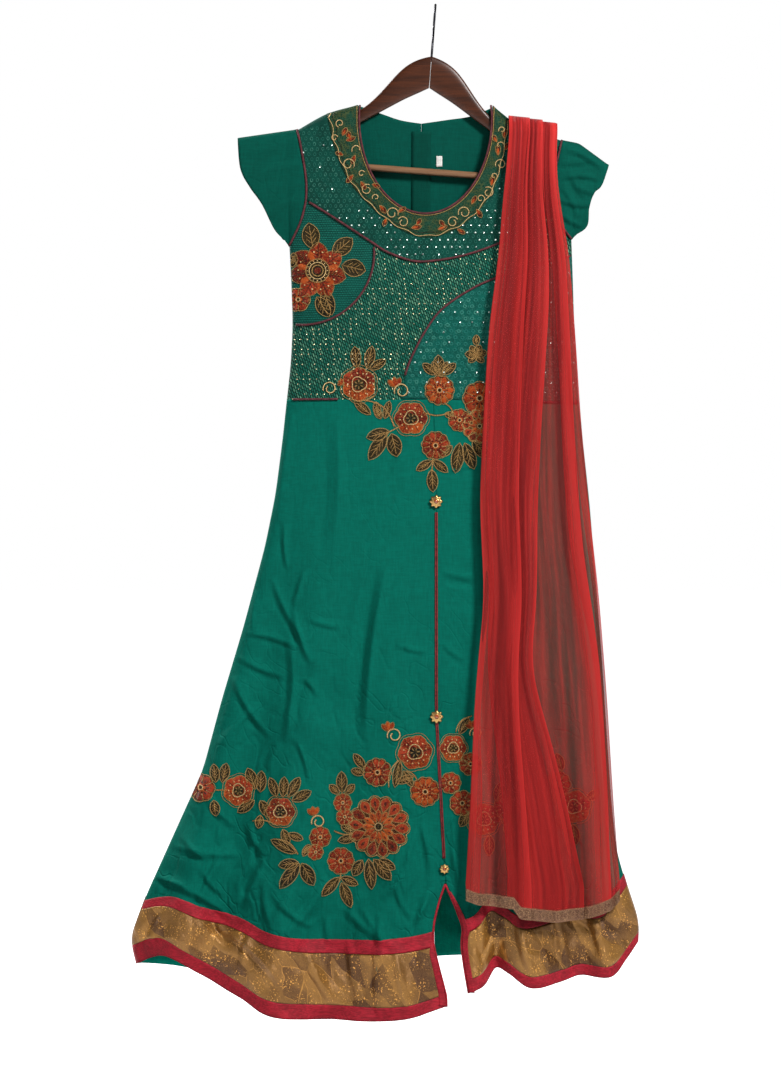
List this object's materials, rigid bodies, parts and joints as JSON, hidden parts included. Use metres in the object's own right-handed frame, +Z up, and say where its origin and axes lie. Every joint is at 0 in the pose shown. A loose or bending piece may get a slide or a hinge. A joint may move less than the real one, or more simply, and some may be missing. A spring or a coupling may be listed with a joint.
{
  "type": "kurta and dupatta on a wooden hanger",
  "caption": "Green embroidered kurta with a scoop neck, short sleeves and a split flared skirt, on a wooden hanger with a sheer red pleated scarf over one shoulder.",
  "frame": {"origin": "the point inside the top of the wire hook where a rail bears on it", "axes": "+Z up, +Y from the garment's front to its back, +X to the right as seen from the front"},
  "size_m": [0.7648, 0.1548, 1.5263],
  "materials": {
    "wood": "dark brown varnish, satin",
    "crossbar": "bare light wood, satin",
    "wire": "black lacquer, satin",
    "sleeve_cotton": "plain dark green, matte",
    "green_cotton": "plain deep green, matte",
    "yoke_embroidery": "green with rows of small stitches and sequins",
    "bust_embroidery": "green with a fine stitched grid",
    "centre_embroidery": "green with dense slanting stitches and sequins",
    "side_embroidery": "green with small stitched rings and sparse sequins",
    "neck_band": "olive and gold stitched scrolls",
    "gold_band": "gold woven band, satin",
    "red_band": "crimson, satin",
    "red_binding": "crimson, satin",
    "piping": "maroon and gold piping, satin",
    "gilt_button": "gilt, satin",
    "spray_embroidery": "red, orange and gold stitched flowers, satin",
    "zip_tape": "dark green, matte",
    "label": "blank, white, satin",
    "zip_metal": "dark green paint, satin",
    "gold_lace": "gold lace edging, satin",
    "chiffon": "sheer red, crinkled"
  },
  "bodies": {
    "garment": {"back_left": "green_cotton", "back_right": "green_cotton", "bodice_panel_centre": "centre_embroidery", "bodice_panel_right": "side_embroidery", "bust_panel_left": "bust_embroidery", "button_1": "gilt_button", "button_2": "gilt_button", "button_3": "gilt_button", "dupatta_back": "chiffon", "dupatta_front": "chiffon", "dupatta_lace_back": "gold_lace", "dupatta_lace_front": "gold_lace", "dupatta_shoulder": "chiffon", "hanger_arm_left": "wood", "hanger_arm_right": "wood", "hanger_bar": "crossbar", "hanger_hook": "wire", "hem_gold_back_left": "gold_band", "hem_gold_back_right": "gold_band", "hem_gold_front_left": "gold_band", "hem_gold_front_right": "gold_band", "hem_red_lower_back_left": "red_band", "hem_red_lower_back_right": "red_band", "hem_red_lower_front_left": "red_band", "hem_red_lower_front_right": "red_band", "hem_red_upper_back_left": "red_band", "hem_red_upper_back_right": "red_band", "hem_red_upper_front_left": "red_band", "hem_red_upper_front_right": "red_band", "label": "label", "neck_band": "neck_band", "piping_armhole_left": "piping", "piping_armhole_right": "piping", "piping_bust_left": "piping", "piping_front_left": "piping", "piping_front_right": "piping", "piping_neck": "piping", "piping_side_curve": "piping", "piping_slit_left": "red_binding", "piping_slit_right": "red_binding", "piping_waist_left": "piping", "piping_waist_right": "piping", "piping_yoke": "piping", "skirt_front_left": "green_cotton", "skirt_front_right": "green_cotton", "sleeve_left": "sleeve_cotton", "sleeve_right": "sleeve_cotton", "spray_chest": "spray_embroidery", "spray_hem_left": "spray_embroidery", "spray_hem_right": "spray_embroidery", "spray_waist": "spray_embroidery", "yoke": "yoke_embroidery", "zip_slider": "zip_metal", "zip_tape": "zip_tape"},
    "pull_tab": {"zip_pull": "zip_metal"}
  },
  "joints": [
    {"name": "pull_tab_swing", "type": "hinge", "parent": "garment", "child": "pull_tab", "pos_m": [-0.021, 0.01539, -0.194], "axis": [1, 0, 0], "range_deg": [0, 150]}
  ]
}
